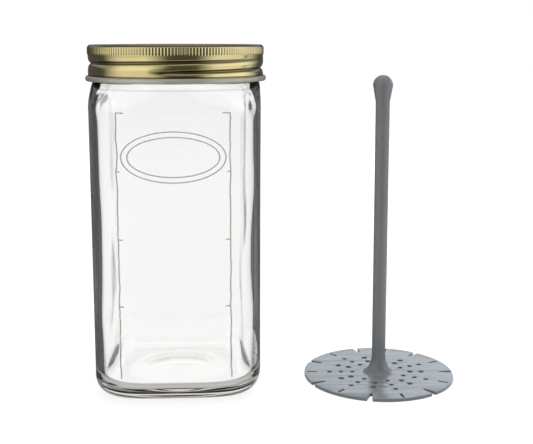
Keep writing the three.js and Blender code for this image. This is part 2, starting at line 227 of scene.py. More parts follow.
glow = node(tree, "Emission", [WHITE, glow_light])
glowing = node(tree, "Mix", {0: open_view, 2: GLOW_SHARE_THROUGH, 3: FLOOR_GLOW_SHARE})
share = node(tree, "Math", [sight, glowing], operation="MULTIPLY")
white = node(tree, "MixShader", [share, paper, glow])
seen = node(tree, "MixShader", [bare, node(tree, "Emission", [BLACK, 0.0]), white])
beside_front, beside_back, from_front = lamps_seen(tree, spot["X"], spot["Y"])
lit = node(tree, "Math", [beside_front, beside_back], operation="MINIMUM")
panel = node(tree, "MapRange", [away, *FLOOR_PANEL_REACH, *FLOOR_PANEL_LIGHT])
lamps = node(tree, "Math", [lit, panel], operation="MULTIPLY")
far = node(tree, "Math", [lamps, CARD_LIGHT], operation="MAXIMUM")
# Painted reflection: mirror rays see the floor glow with an image of the lamps and cards, dimmed
# close to the jar's foot.
close = node(tree, "MapRange", [away, NEAR_FLOOR_FROM, NEAR_FLOOR_TO, 1.0, 0.0], **SMOOTH)
sides = [radians(angle) for angle in NEAR_FLOOR_SIDES]
ahead = node(tree, "MapRange", [from_front, *sides, 1.0, 0.0], **SMOOTH)
foot = node(tree, "MapRange", [away, FOOT_FROM, FOOT_TO, FOOT_LIGHT, NEAR_FLOOR_LIGHT], **SMOOTH)
near = node(tree, "Mix", {0: ahead, 2: CARD_LIGHT, 3: foot})
mirrored = node(tree, "Mix", {0: close, 2: far, 3: near})
image = node(tree, "Emission", [WHITE, mirrored])
node(tree, "OutputMaterial", [node(tree, "MixShader", [gloss, seen, image])])


def finish_mesh(name, bm, *materials):
    """Turns a bmesh into a smooth piece of the scene."""
    mesh = bpy.data.meshes.new(name)
    bm.to_mesh(mesh)
    bm.free()
    for material in materials:
        mesh.materials.append(material)
    mesh.shade_smooth()
    made = bpy.data.objects.new(name, mesh)
    scene.collection.objects.link(made)
    return made


bm = bmesh.new()
bmesh.ops.create_grid(bm, x_segments=2, y_segments=2, size=FLOOR_SIZE / 2)
floor = finish_mesh("studio_floor", bm, floor_material)


def softbox(name, place, aim, width, height, watts):
    """Hangs a rectangular lamp at a place, turned to a point that it aims at."""
    lamp = bpy.data.lights.new(name, "AREA")
    lamp.shape = "RECTANGLE"
    lamp.size, lamp.size_y = width, height
    lamp.energy = watts
    made = bpy.data.objects.new(name, lamp)
    scene.collection.objects.link(made)
    made.location = place
    made.rotation_euler = (Vector(aim) - Vector(place)).to_track_quat("-Z", "Y").to_euler()
    return made


lamp_above = softbox(
    "lamp_above", place=(0.05, 0.15, 0.95), aim=(0, 0, 0.05), width=1.1, height=0.9, watts=5.5
)
lamp_left = softbox(
    "lamp_left", place=(-0.95, -0.50, 0.30), aim=(0, 0, 0.09), width=0.5, height=0.5, watts=1.2
)
lamp_right = softbox(
    "lamp_right", place=(1.00, -0.45, 0.30), aim=(0, 0, 0.09), width=0.5, height=0.5, watts=0.8
)
lamp_behind = softbox(
    "lamp_behind", place=(0.47, 0.90, 0.40), aim=(0.08, 0, 0), width=1.1, height=0.5, watts=3.5
)
lamp_front = softbox(
    "lamp_front", place=(-0.10, -1.00, 0.22), aim=(JAR_X, 0, 0.165), width=0.3, height=0.3,
    watts=10.0,
)
lamp_behind.data.color = COOL_LIGHT
for lamp in (lamp_above, lamp_left, lamp_right, lamp_front):
    lamp.visible_glossy = False

# The glass jar: one piece of clear soda-lime glass, pressed in a two-part mould, so its walls are
# thick and not quite even inside. It is square with rounded corners, has a round screw finish, a
# hollow under its thick base, and fine graduated lines and an oval frame raised on its front.

JAR_HEIGHT = 170 * MM
NECK_RADIUS = 41.5 * MM
MOUTH_RADIUS = 39.2 * MM
RIM_ROUND = 1.1 * MM
HALF_WIDTH_TOP = 42 * MM
HALF_WIDTH_BASE = 41.5 * MM
GLASS_WALL = 3.2 * MM
GLASS_FLOOR = 6 * MM
HEEL_RADIUS = 9.5 * MM
CAVITY_HEEL = 7 * MM
PUNT_RADIUS = 27 * MM
PUNT_HEIGHT = 2.6 * MM
SHOULDER_TOP = 153.8 * MM
SHOULDER_DROP = 3.2 * MM
CORNER_DROP = 11 * MM
OUTSIDE_SQUARENESS = 4.6
CAVITY_SQUARENESS = 4.4
ROW = 2.0 * MM
MOUTH_ROW = 3 * MM
THREAD_ROW = 0.45 * MM
JAR_STEPS = 192
WEDGES = 24
HOLLOW_STEPS, HEEL_STEPS, SHOULDER_STEPS, RIM_STEPS, CAVITY_STEPS = 12, 14, 8, 6, 12
MERGE_GAP = 1e-6
THREAD_PITCH = 4.6 * MM
THREAD_START = 161.95 * MM
THREAD_START_TURN = -0.04
THREAD_TURNS = 1.1
THREAD_RISE = 1.15 * MM
THREAD_HALF = 1.5 * MM
THREAD_RUN_OUT = 0.08
THREAD_CREST = 1.3
ROUND, OUTSIDE, INSIDE, THREAD = range(4)

LINE_X = 26.5 * MM
LINE_LOW = 13 * MM
LINE_HIGH = 141 * MM
LINE_WANDERS = [(0, 0.45 * MM, 9 * MM), (5, 0.18 * MM, 2.5 * MM)]
MARKS = [(48.5 * MM, 1.9 * MM), (81 * MM, 1.9 * MM), (113.5 * MM, 1.4 * MM), (141 * MM, 3.4 * MM)]
FRAME_HEIGHT = 120.2 * MM
FRAME_RINGS = [(24.5 * MM, 12.0 * MM), (21.6 * MM, 9.4 * MM)]
FRAME_MIDDLE = 0.3
RELIEF_HALF = 0.45 * MM
RELIEF_HEIGHT = 0.28 * MM
RELIEF_CUTS = 8
RELIEF_REACH = 1.5 * MM
PANEL_MARGIN = 3 * MM
PANEL_FRONT = -30 * MM
PARTING_HEIGHT = 151.4 * MM
PARTING_HALF = 0.35 * MM
PARTING_SHADE = 0.5
WAVE_DEPTH = 0.22 * MM
WAVE_LENGTH, WAVE_STRETCH = 17 * MM, 2.2
WAVE_MIDDLE = 0.5
WAVE_SHARE_HIGH, WAVE_MORE_LOW = 0.5, 0.8
WAVE_MORE_FROM, WAVE_MORE_OVER = 130 * MM, 60 * MM
RIPPLE_SHARE = 0.5
RIPPLE_ACROSS, RIPPLE_UP = 7 * MM, 26 * MM
CALM_OVER_FLOOR, CALM_UNDER_NECK = 30 * MM, 3 * MM
SAG_DEPTH = 0.9 * MM
SAG_HEIGHT = 147 * MM
SAG_REACH = 9 * MM
SAG_CORNER_RISE, SAG_CORNER_START = 2.5, 1.5
SAG_ACROSS, SAG_UP = 4 * MM, 16 * MM
GLASS_IOR = 1.51
GLASS_TINT = "#cdc7bd"
GLASS_DENSITY = 14.0
PAINTED_SHADE_COLOUR = "#303232"
LAMP_RAY_TINT = "#f8f9f8"
FOLD_LOW, FOLD_HIGH = 137 * MM, 146 * MM
FOLD_TOP, FOLD_END = 149.5 * MM, 151.5 * MM
FOLD_FROM, FOLD_TO = 1.0, 1.5
FOLD_CORNER = (0.72, 0.86)
FOLD_WIDTH = 2.2 * MM
FOLD_LENGTH = 22 * MM
FOLD_SHADE = 0.8
FOLD_RIGHT = 0.62


def bend(centre_r, centre_z, radius_r, radius_z, start, end, steps, wall):
    """Points of a profile's round corner."""
    turns = [radians(start + (end - start) * i / steps) for i in range(steps + 1)]
    return [(centre_r + radius_r * cos(a), centre_z + radius_z * sin(a), wall) for a in turns]


def rise(r_start, z_start, r_end, z_end, row, wall):
    """Points of a straight run of a profile, without its ends, no more than a row apart."""
    out, up = r_end - r_start, z_end - z_start
    steps = ceil(hypot(out, up) / row)
    shares = [i / steps for i in range(1, steps)]
    return [(r_start + out * s, z_start + up * s, wall) for s in shares]


def turn_profile(points, steps, x, y=0.0, closed=False):
    """Spins a profile round an upright axis, first one wedge and then the rest of the wedges.
    Each point's wall number goes to its whole ring."""
    bm = bmesh.new()
    wall_layer = bm.verts.layers.int.new("wall")
    corners = []
    for r, z, wall in points:
        corner = bm.verts.new((x + r, y, z))
        corner[wall_layer] = wall
        corners.append(corner)
    pairs = zip(corners, corners[1:] + corners[:1] if closed else corners[1:])
    edges = [bm.edges.new(pair) for pair in pairs]
    spin = {"cent": (x, y, 0), "axis": (0, 0, 1), "dvec": (0, 0, 0)}
    wedge = 2 * pi / WEDGES
    bmesh.ops.spin(bm, geom=corners + edges, angle=wedge, steps=steps // WEDGES, **spin)
    whole = bm.verts[:] + bm.edges[:] + bm.faces[:]
    rest = WEDGES - 1
    bmesh.ops.spin(bm, geom=whole, angle=wedge * rest, steps=rest, use_duplicate=True, **spin)
    bmesh.ops.remove_doubles(bm, verts=bm.verts, dist=MERGE_GAP)
    bmesh.ops.recalc_face_normals(bm, faces=bm.faces)
    return bm, wall_layer


def squareness(z, full):
    """The superellipse's exponent at a height: the round neck swells into the square body."""
    t = min(max((SHOULDER_TOP - z) / CORNER_DROP, 0), 1)
    reach = 1 + (2 ** (1 / 2 - 1 / full) - 1) * sin(pi / 2 * t)
    return 1 / (1 / 2 - log2(reach))


def half_width(z):
    """Half the body's width at a height: the sides lean out a little towards the shoulder."""
    share = (z - HEEL_RADIUS) / (SHOULDER_TOP - SHOULDER_DROP - HEEL_RADIUS)
    return HALF_WIDTH_BASE + (HALF_WIDTH_TOP - HALF_WIDTH_BASE) * min(max(share, 0), 1)


def thread_height(angle, z):
    """How far the screw thread stands out of the finish at a place on it."""
    out = 0
    for turn in (angle / (2 * pi), angle / (2 * pi) + 1):
        t = (turn - THREAD_START_TURN) / THREAD_TURNS
        if 0 <= t <= 1:
            off = abs(z - THREAD_START - THREAD_PITCH * THREAD_TURNS * t) / THREAD_HALF
            fade = min(t, 1 - t, THREAD_RUN_OUT) / THREAD_RUN_OUT
            if off < 1:
                crest = cos(pi / 2 * off) ** THREAD_CREST
                out = max(out, THREAD_RISE * sin(pi / 2 * fade) * crest)
    return out


def relief_gap(x, z):
    """How far a place on the front face lies from the middle of the nearest raised line. The
    upright lines wander a little, as their cuts in the mould do."""
    side = 1 if x > 0 else -1
    line = LINE_X
    for lane, reach, length in LINE_WANDERS:
        line += reach * noise.noise((side, lane, z / length))
    over = max(LINE_LOW - z, 0, z - LINE_HIGH)
    gaps = [hypot(abs(x) - line, over)]
    for height, length in MARKS:
        past = max(line - length - abs(x), 0, abs(x) - line)
        gaps.append(hypot(past, z - height))
    for a, b in FRAME_RINGS:
        h = z - FRAME_HEIGHT
        rho = hypot(x / a, h / b)
        if rho > FRAME_MIDDLE:
            gaps.append(abs(rho - 1) * rho / hypot(x / a**2, h / b**2))
    return min(gaps)


straight_low = HEEL_RADIUS
straight_high = SHOULDER_TOP - SHOULDER_DROP
cavity_low = GLASS_FLOOR + CAVITY_HEEL
cavity_edge = HALF_WIDTH_BASE - GLASS_WALL - CAVITY_HEEL
rim_out = NECK_RADIUS - RIM_ROUND
rim_in = MOUTH_RADIUS + RIM_ROUND
rim_z = JAR_HEIGHT - RIM_ROUND
cavity_top = HALF_WIDTH_TOP - GLASS_WALL
heel_r = HALF_WIDTH_BASE - HEEL_RADIUS
shoulder_out = (HALF_WIDTH_TOP - NECK_RADIUS, SHOULDER_DROP)
shoulder_in = (cavity_top - MOUTH_RADIUS, SHOULDER_DROP)


def dome(base):
    """Points of the hollow under the base, and of the same rise on the cavity's floor."""
    shares = [i / HOLLOW_STEPS for i in range(HOLLOW_STEPS)]
    return [(PUNT_RADIUS * s, base + PUNT_HEIGHT * cos(pi / 2 * s) ** 2, ROUND) for s in shares]


profile = [
    *dome(0),
    (PUNT_RADIUS, 0, ROUND),
    *bend(heel_r, HEEL_RADIUS, HEEL_RADIUS, HEEL_RADIUS, -90, 0, HEEL_STEPS, OUTSIDE),
    *rise(half_width(straight_low), straight_low, HALF_WIDTH_TOP, straight_high, ROW, OUTSIDE),
    *bend(NECK_RADIUS, straight_high, *shoulder_out, 0, 90, SHOULDER_STEPS, OUTSIDE),
    *rise(NECK_RADIUS, SHOULDER_TOP, NECK_RADIUS, rim_z, THREAD_ROW, THREAD),
    *bend(rim_out, rim_z, RIM_ROUND, RIM_ROUND, 0, 90, RIM_STEPS, ROUND),
    *bend(rim_in, rim_z, RIM_ROUND, RIM_ROUND, 90, 180, RIM_STEPS, ROUND),
    *rise(MOUTH_RADIUS, rim_z, MOUTH_RADIUS, SHOULDER_TOP, MOUTH_ROW, ROUND),
    *bend(MOUTH_RADIUS, straight_high, *shoulder_in, 90, 0, SHOULDER_STEPS, INSIDE),
    *rise(cavity_top, straight_high, half_width(cavity_low) - GLASS_WALL, cavity_low, ROW, INSIDE),
    *bend(cavity_edge, cavity_low, CAVITY_HEEL, CAVITY_HEEL, 0, -90, CAVITY_STEPS, INSIDE),
    *reversed(dome(GLASS_FLOOR)),
]
bm, wall_layer = turn_profile(profile, JAR_STEPS, JAR_X)


def squared(x, y, z, reach, full):
    """A place on a wall, pushed out along its own bearing to the superellipse at its height."""
    n, r = squareness(z, full), hypot(x, y)
    push = (abs(x / r) ** n + abs(y / r) ** n) ** (-1 / n)
    return x / r * reach * push, y / r * reach * push


def unevenness(x, y, z):
    """How far the inside of the glass stands in from its even wall: long waves, short ripples
    on them, and a sag in the corners of the shoulder. Floor and neck stay even."""
    wave = noise.noise((x / WAVE_LENGTH, y / WAVE_LENGTH, z / (WAVE_STRETCH * WAVE_LENGTH)))
    ripple = noise.noise((x / RIPPLE_ACROSS, y / RIPPLE_ACROSS, z / RIPPLE_UP))
    wave += RIPPLE_SHARE * ripple
    calm = min((z - cavity_low) / CALM_OVER_FLOOR, (SHOULDER_TOP - z) / CALM_UNDER_NECK, 1)
    low = min(max((WAVE_MORE_FROM - z) / WAVE_MORE_OVER, 0), 1)
    depth = WAVE_DEPTH * (WAVE_SHARE_HIGH + WAVE_MORE_LOW * low) * (WAVE_MIDDLE + wave)
    across, along = sorted((abs(x), abs(y)))
    corner = max(SAG_CORNER_RISE * across / along - SAG_CORNER_START, 0)
    shoulder = max(1 - abs(z - SAG_HEIGHT) / SAG_REACH, 0) * corner
    sag = noise.noise((x / SAG_ACROSS, y / SAG_ACROSS, z / SAG_UP))
    depth += SAG_DEPTH * shoulder * sag
    return depth * max(calm, 0)


for v in bm.verts:
    wall = v[wall_layer]
    x, y, z = v.co.x - JAR_X, v.co.y, v.co.z
    r = hypot(x, y)
    if wall == THREAD:
        out = 1 + thread_height(atan2(x, -y) % (2 * pi), z) / r
        x, y = x * out, y * out
    elif wall == OUTSIDE and r > 0:
        x, y = squared(x, y, z, r, OUTSIDE_SQUARENESS)
    elif wall == INSIDE and r > 0:
        x, y = squared(x, y, z, r, CAVITY_SQUARENESS)
        inward = 1 - unevenness(x, y, z) / hypot(x, y)
        x, y = x * inward, y * inward
    v.co.x, v.co.y = JAR_X + x, y


def on_panel(y, z):
    """Whether a place is on the flat part of the front face that the raised lines stand on."""
    return LINE_LOW - PANEL_MARGIN < z < LINE_HIGH + PANEL_MARGIN and y < PANEL_FRONT


near = []
for face in bm.faces:
    middle = face.calc_center_median()
    if on_panel(middle.y, middle.z) and all(v[wall_layer] == OUTSIDE for v in face.verts):
        if relief_gap(middle.x - JAR_X, middle.z) < RELIEF_REACH:
            near.append(face)
edges = list({edge for face in near for edge in face.edges})
bmesh.ops.subdivide_edges(bm, edges=edges, cuts=RELIEF_CUTS, use_grid_fill=True)

# Painted shade: the flanks of the raised lines get a value that darkens the glass's colour there,
# for the light they bend away.
shade_layer = bm.verts.layers.float.new("relief_shade")
for v in bm.verts:
    x, y, z = v.co.x - JAR_X, v.co.y, v.co.z
    if v[wall_layer] != OUTSIDE or not on_panel(y, z):
        continue
    x, y = squared(x, y, z, half_width(z), OUTSIDE_SQUARENESS)
    off = relief_gap(x, z) / RELIEF_HALF
    if off < 1:
        y -= RELIEF_HEIGHT * cos(pi / 2 * off) ** 2
        v[shade_layer] = 1 - off * off
    v.co.x, v.co.y = JAR_X + x, y
# Painted shade at the corners of the shoulder: streaks that darken the glass's colour where its
# folds bend light away, weaker at the right-hand corners.
painted_fold_shade_layer = bm.verts.layers.float.new("painted_fold_shade")
for v in bm.verts:
    if v[wall_layer] != OUTSIDE:
        continue
    # Painted shade along the parting line.
    if abs(v.co.z - PARTING_HEIGHT) < PARTING_HALF:
        v[shade_layer] = PARTING_SHADE
    sides = sorted((abs(v.co.x - JAR_X), abs(v.co.y)))
    corner = (sides[0] / sides[1] - FOLD_CORNER[0]) / (FOLD_CORNER[1] - FOLD_CORNER[0])
    above = (v.co.z - FOLD_LOW) / (FOLD_HIGH - FOLD_LOW)
    below = (FOLD_END - v.co.z) / (FOLD_END - FOLD_TOP)
    painted_fold_shade = min(max(corner, 0), 1) * min(max(min(above, below), 0), 1)
    v[painted_fold_shade_layer] = painted_fold_shade if v.co.x < JAR_X else FOLD_RIGHT * painted_fold_shade
bmesh.ops.recalc_face_normals(bm, faces=bm.faces)


def mottle(tree, size, detail=2.0, stretch=(1, 1, 1)):
    """Noise with lumps of a real size, in metres, on the object's own coordinates."""
    place = node(tree, "TexCoord", out="Object")
    scaled = node(tree, "Mapping", {"Vector": place, "Scale": stretch})
    return node(tree, "TexNoise", {"Vector": scaled, "Scale": 1 / size, "Detail": detail})


# Clear pressed soda-lime glass: fire-polished and colourless across a wall, a little warm grey
# where the eye looks along it. The flanks of the raised lines, the parting line and the folds at
# the corners of the shoulder bend light away, so painted shade darkens the glass's colour there,
# finer than facets could.
glass = bpy.data.materials.new("pressed_soda_lime_glass")
glass.use_nodes = True
tree = glass.node_tree
tree.nodes.clear()
flank = node(tree, "Attribute", out="Fac", attribute_name="relief_shade")
painted_fold_shade = node(tree, "Attribute", out="Fac", attribute_name="painted_fold_shade")
stripes = mottle(tree, FOLD_WIDTH, 0.0, (1, 1, FOLD_WIDTH / FOLD_LENGTH))
reach = node(tree, "Math", [stripes, painted_fold_shade], operation="ADD")
fold_shade_amount = node(tree, "MapRange", [reach, FOLD_FROM, FOLD_TO, 0.0, FOLD_SHADE], **SMOOTH)
dimmed = node(tree, "Math", [flank, fold_shade_amount], operation="MAXIMUM")
clear = node(tree, "Mix", {0: dimmed, 6: WHITE, 7: linear(PAINTED_SHADE_COLOUR)}, out=2, data_type="RGBA")
body = node(
    tree, "BsdfPrincipled",
    {"Base Color": clear, "Roughness": 0.0, "IOR": GLASS_IOR, "Transmission Weight": 1.0},
)
open_air = node(tree, "BsdfTransparent", [linear(LAMP_RAY_TINT)])
lamp_ray = node(tree, "LightPath", out="Is Shadow Ray")
pane = node(tree, "MixShader", [lamp_ray, body, open_air])
depth = node(tree, "VolumeAbsorption", [linear(GLASS_TINT), GLASS_DENSITY])
node(tree, "OutputMaterial", {"Surface": pane, "Volume": depth})

jar = finish_mesh("glass_jar_pressed", bm, glass)
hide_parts("glass_jar")
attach(jar, "jar")

# The sealing compound: a ring of cream rubbery compound, flowed into the edge of the lid disc and
# cured there. It is matt and soft, with rounded edges.

SEAL_LOW, SEAL_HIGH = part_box("sealing_ring")
SEAL_OUT = (SEAL_HIGH.x - SEAL_LOW.x) / 2
SEAL_IN = 39.6 * MM
SEAL_ROUND = 0.3 * MM
RING_STEPS = 192
RING_CORNER_STEPS = 4
DRIFT_RANGE = (0.3, 0.7)


def rounded_ring(r_in, r_out, z_low, z_high, corner, wall=ROUND):
    """The closed profile of a flat ring with rounded corners."""
    points = []
    for r, z, start in (
        (r_out - corner, z_low + corner, -90),
        (r_out - corner, z_high - corner, 0),
        (r_in + corner, z_high - corner, 90),
        (r_in + corner, z_low + corner, 180),
    ):
        points += bend(r, z, corner, corner, start, start + 90, RING_CORNER_STEPS, wall)
    return points


def opaque(name, light, dark, size, rough, bump_size, bump_height, stretch=(1, 1, 1), **sockets):
    """A solid finish: a colour and a roughness that drift over a size, and a fine surface bump.
    An optional third, dark colour is painted shade, shown where the piece has the attribute that
    bears the same name as its keyword."""
    material = bpy.data.materials.new(name)
    material.use_nodes = True
    tree = material.node_tree
    tree.nodes.clear()
    patches = mottle(tree, size, 3.0, stretch)
    drift = node(tree, "MapRange", [patches, *DRIFT_RANGE], **SMOOTH)
    blend = {0: drift, 6: linear(dark), 7: linear(light)}
    colour = node(tree, "Mix", blend, out=2, data_type="RGBA")
    deep = sockets.pop("deep", None)
    if deep:
        painted_shade_mask = node(tree, "Attribute", out="Fac", attribute_name="deep")
        blend = {0: painted_shade_mask, 6: colour, 7: linear(deep)}
        colour = node(tree, "Mix", blend, out=2, data_type="RGBA")
    fine = mottle(tree, bump_size, 2.0, stretch)
    bump = node(tree, "Bump", {"Strength": 1.0, "Distance": bump_height, "Height": fine})
    patches = mottle(tree, size / 3, 2.0, stretch)
    gloss = node(tree, "MapRange", [patches, *DRIFT_RANGE, *rough], **SMOOTH)
    sockets |= {"Base Color": colour, "Roughness": gloss, "Normal": bump}
    node(tree, "OutputMaterial", [node(tree, "BsdfPrincipled", sockets)])
    return material


# Flowed sealing compound: a cream vinyl compound that set as it ran, so it is matt, a little
# uneven in colour and softly lumpy.
compound = opaque(
    "flowed_sealing_compound", light="#e9e4d6", dark="#ddd6c6", size=6 * MM, rough=(0.55, 0.75),
    bump_size=0.8 * MM, bump_height=0.03 * MM,
)
profile = rounded_ring(SEAL_IN, SEAL_OUT, SEAL_LOW.z, SEAL_HIGH.z, SEAL_ROUND)
bm, wall_layer = turn_profile(profile, RING_STEPS, JAR_X, closed=True)
seal = finish_mesh("sealing_ring_compound", bm, compound)
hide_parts("sealing_ring")
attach(seal, "lid")

# The lid disc: tinplate 0.3 mm thick, stamped with a flat seat for the seal, a step that drops
# into the mouth and a raised panel. It is gold-lacquered and lies loose under the screw band.

DISC_LOW, DISC_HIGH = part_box("lid_disc")
DISC_OUT = (DISC_HIGH.x - DISC_LOW.x) / 2
DISC_SHEET = 0.3 * MM
DISC_SEAT = DISC_HIGH.z - DISC_SHEET
WELL_DROP = 0.9 * MM
PANEL_RISE = 0.6 * MM
DISC_WELL = DISC_SEAT - WELL_DROP
DISC_PANEL = DISC_WELL + PANEL_RISE
WELL_RADIUS = 37.8 * MM
PANEL_RADIUS = 31 * MM
STEP_WIDTH = 1 * MM
STEP_ROWS = 6
PANEL_ROWS = [0, 8 * MM, 16 * MM, 24 * MM, 30 * MM]
WELL_ROW = 34.5 * MM
SEAT_ROW = 40 * MM
DISC_ROUND = 0.1 * MM


def slope(r, r_start, z_start, z_end):
    """The height of a stamped step at a radius."""
    t = min(max((r - r_start) / STEP_WIDTH, 0), 1)
    return z_start + (z_end - z_start) * t * t * (3 - 2 * t)


def disc_underside(r):
    """The height of the disc's lower face at a radius: panel, well, then the seal's seat."""
    if r > WELL_RADIUS - STEP_WIDTH:
        return slope(r, WELL_RADIUS - STEP_WIDTH, DISC_WELL, DISC_SEAT)
    return slope(r, PANEL_RADIUS, DISC_PANEL, DISC_WELL)


across_step = [STEP_WIDTH * i / STEP_ROWS for i in range(STEP_ROWS + 1)]
radii = [
    *PANEL_ROWS,
    *[PANEL_RADIUS + share for share in across_step],
    WELL_ROW,
    *[WELL_RADIUS - STEP_WIDTH + share for share in across_step],
    SEAT_ROW,
    DISC_OUT - DISC_ROUND,
]
under = [(r, disc_underside(r), ROUND) for r in radii]
over = [(r, z + DISC_SHEET, ROUND) for r, z, wall in reversed(under)]
edge = [(DISC_OUT, DISC_SEAT + DISC_SHEET / 2, ROUND)]

# Gold lacquer over bright tinplate: a clear yellow stoving lacquer that the metal shines through,
# with a faint orange peel and a colour that is a little deeper where it ran thicker.
# The lacquer's dark third colour is painted shade, for the band's top corner, knurl valleys, rolled
# groove and the skirt just above the curl.
lacquer = opaque(
    "gold_lacquered_tinplate", light="#d3c694", dark="#c6b880", size=24 * MM, rough=(0.14, 0.20),
    bump_size=1.6 * MM, bump_height=0.003 * MM, deep="#4d4522",
    **{"Metallic": 1.0, "Coat Weight": 0.3, "Coat Roughness": 0.08},
)
bm, wall_layer = turn_profile(under + edge + over, RING_STEPS, JAR_X)
disc = finish_mesh("lid_disc_stamped", bm, lacquer)
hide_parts("lid_disc")
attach(disc, "lid")

# The screw band: tinplate 0.4 mm thick, drawn into a ring with a flat flange, knurled round the
# top of its skirt, rolled with one screw groove and curled outwards at its lower edge. Its outside
# is gold-lacquered, and the inside and the curl are bare tin.

BAND_LOW, BAND_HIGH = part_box("screw_band")
BAND_SHEET = 0.4 * MM
SKIRT_RADIUS = 43.7 * MM
FLANGE_INNER = 39.2 * MM
BAND_CORNER = 1.2 * MM
CURL_ACROSS = 0.72 * MM
CURL_TALL = 1.1 * MM
CURL_END = 465
KNURLS = 180
KNURL_DEPTH = 0.30 * MM
KNURL_TOP = BAND_HIGH.z - 0.8 * MM
KNURL_LOW = BAND_HIGH.z - 4.8 * MM
KNURL_FADE = 0.4 * MM
KNURL_CORNER = 1.4 * MM
GROOVE_DEPTH = 0.72 * MM
GROOVE_HALF = 1.05 * MM
WAIST_DEPTH = 0.6 * MM
WAIST_HALF = 3.2 * MM
CREASE_SHADE_FROM, CREASE_SHADE_TO = 0.02 * MM, 0.25 * MM
SHADE_OVER_CURL = 2.0 * MM
CREASE_SHADE = 0.85
VALLEY_SHADE = 0.45
GROOVE_START = BAND_LOW.z + 5.05 * MM
GROOVE_TURNS = 1.26
GROOVE_RUN_IN, GROOVE_RUN_OUT = 0.06, 0.17
CREASE_POWER, WAIST_POWER = 1.5, 2
KNURL_SHARE_INSIDE = 0.5
CORNER_SHADE_WIDTH = 0.4 * BAND_CORNER
SKIRT_SLACK = 0.01 * MM
SKIRT_ROW, INSIDE_ROW = 0.3 * MM, 0.8 * MM
CURL_STEPS, CURL_INNER_STEPS = 14, 9
CORNER_STEPS, INNER_CORNER_STEPS = 6, 4
BAND_STEPS = 4 * KNURLS
LACQUERED, BARE = 4, 5


def groove_depth(angle, z):
    """How deep the rolled groove is at a place: a narrow crease, and the wide waist round it."""
    crease, waist = 0, 0
    for turn in (angle / (2 * pi) - 1, angle / (2 * pi), angle / (2 * pi) + 1):
        t = (turn - THREAD_START_TURN) / GROOVE_TURNS
        if 0 <= t <= 1:
            off = abs(z - GROOVE_START - THREAD_PITCH * GROOVE_TURNS * t)
            fade = sin(pi / 2 * min(t / GROOVE_RUN_IN, (1 - t) / GROOVE_RUN_OUT, 1))
            if off < GROOVE_HALF:
                crease = max(crease, fade * cos(pi / 2 * off / GROOVE_HALF) ** CREASE_POWER)
            if off < WAIST_HALF:
                waist = max(waist, fade * cos(pi / 2 * off / WAIST_HALF) ** WAIST_POWER)
    return GROOVE_DEPTH * crease, WAIST_DEPTH * waist


def knurl_height(angle, z):
    """How far the knurl stands out at a place, and how much that place is a valley of it."""
    inside = min(max(min(z - KNURL_LOW, KNURL_TOP - z) / KNURL_FADE, 0), 1)
    wave = abs((angle * KNURLS / (2 * pi)) % 1 - 0.5) * 2
    return KNURL_DEPTH * inside * wave, inside * max(1 - 2 * wave, 0)


sheet_middle = SKIRT_RADIUS - BAND_SHEET / 2
curl_r = sheet_middle + CURL_ACROSS
curl_z = BAND_LOW.z + CURL_TALL + BAND_SHEET / 2
curl_out = (CURL_ACROSS + BAND_SHEET / 2, CURL_TALL + BAND_SHEET / 2)
curl_in = (CURL_ACROSS - BAND_SHEET / 2, CURL_TALL - BAND_SHEET / 2)
corner_r = SKIRT_RADIUS - BAND_CORNER
corner_z = BAND_HIGH.z - BAND_CORNER
inner_corner = BAND_CORNER - BAND_SHEET
inside_r = SKIRT_RADIUS - BAND_SHEET
profile = [
    *bend(curl_r, curl_z, *curl_out, 180, CURL_END, CURL_STEPS, BARE),
    *bend(curl_r, curl_z, *curl_in, CURL_END, 180, CURL_INNER_STEPS, BARE),
    *rise(SKIRT_RADIUS, curl_z, SKIRT_RADIUS, corner_z, SKIRT_ROW, LACQUERED),
    *bend(corner_r, corner_z, BAND_CORNER, BAND_CORNER, 0, 90, CORNER_STEPS, LACQUERED),
    (FLANGE_INNER, BAND_HIGH.z, LACQUERED),
    (FLANGE_INNER, BAND_HIGH.z - BAND_SHEET, BARE),
    *bend(corner_r, corner_z, inner_corner, inner_corner, 90, 0, INNER_CORNER_STEPS, BARE),
    *rise(inside_r, corner_z, inside_r, curl_z, INSIDE_ROW, BARE),
]
bm, wall_layer = turn_profile(profile, BAND_STEPS, JAR_X, closed=True)
# Painted shade on the lacquer: the top corner, the knurl's valleys, the rolled groove and the skirt
# just above the curl are darkened in colour for the shade and dark reflections they get.
deep_layer = bm.verts.layers.float.new("deep")
for v in bm.verts:
    x, y, z = v.co.x - JAR_X, v.co.y, v.co.z
    r = hypot(x, y)
    if z > KNURL_TOP and r > corner_r and v[wall_layer] == LACQUERED:
        v[deep_layer] = min((r - corner_r) / CORNER_SHADE_WIDTH, 1)
    on_skirt = SKIRT_RADIUS - KNURL_CORNER < r < SKIRT_RADIUS + SKIRT_SLACK
    if not curl_z < z < KNURL_TOP or not on_skirt:
        continue
    angle = atan2(x, -y) % (2 * pi)
    crease, waist = groove_depth(angle, z)
    knurl, valley = knurl_height(angle, z)
    knurl *= 1 if v[wall_layer] == LACQUERED else KNURL_SHARE_INSIDE
    crease_shade = min(max((crease - CREASE_SHADE_FROM) / (CREASE_SHADE_TO - CREASE_SHADE_FROM), 0), 1)
    creased = 1 if z < curl_z + SHADE_OVER_CURL else 0
    v[deep_layer] = max(CREASE_SHADE * max(creased, crease_shade), VALLEY_SHADE * valley)
    out = 1 + (knurl - crease - waist) / r
    v.co.x, v.co.y = JAR_X + x * out, y * out
bmesh.ops.recalc_face_normals(bm, faces=bm.faces)
for face in bm.faces:
    face.material_index = 0 if all(v[wall_layer] == LACQUERED for v in face.verts) else 1

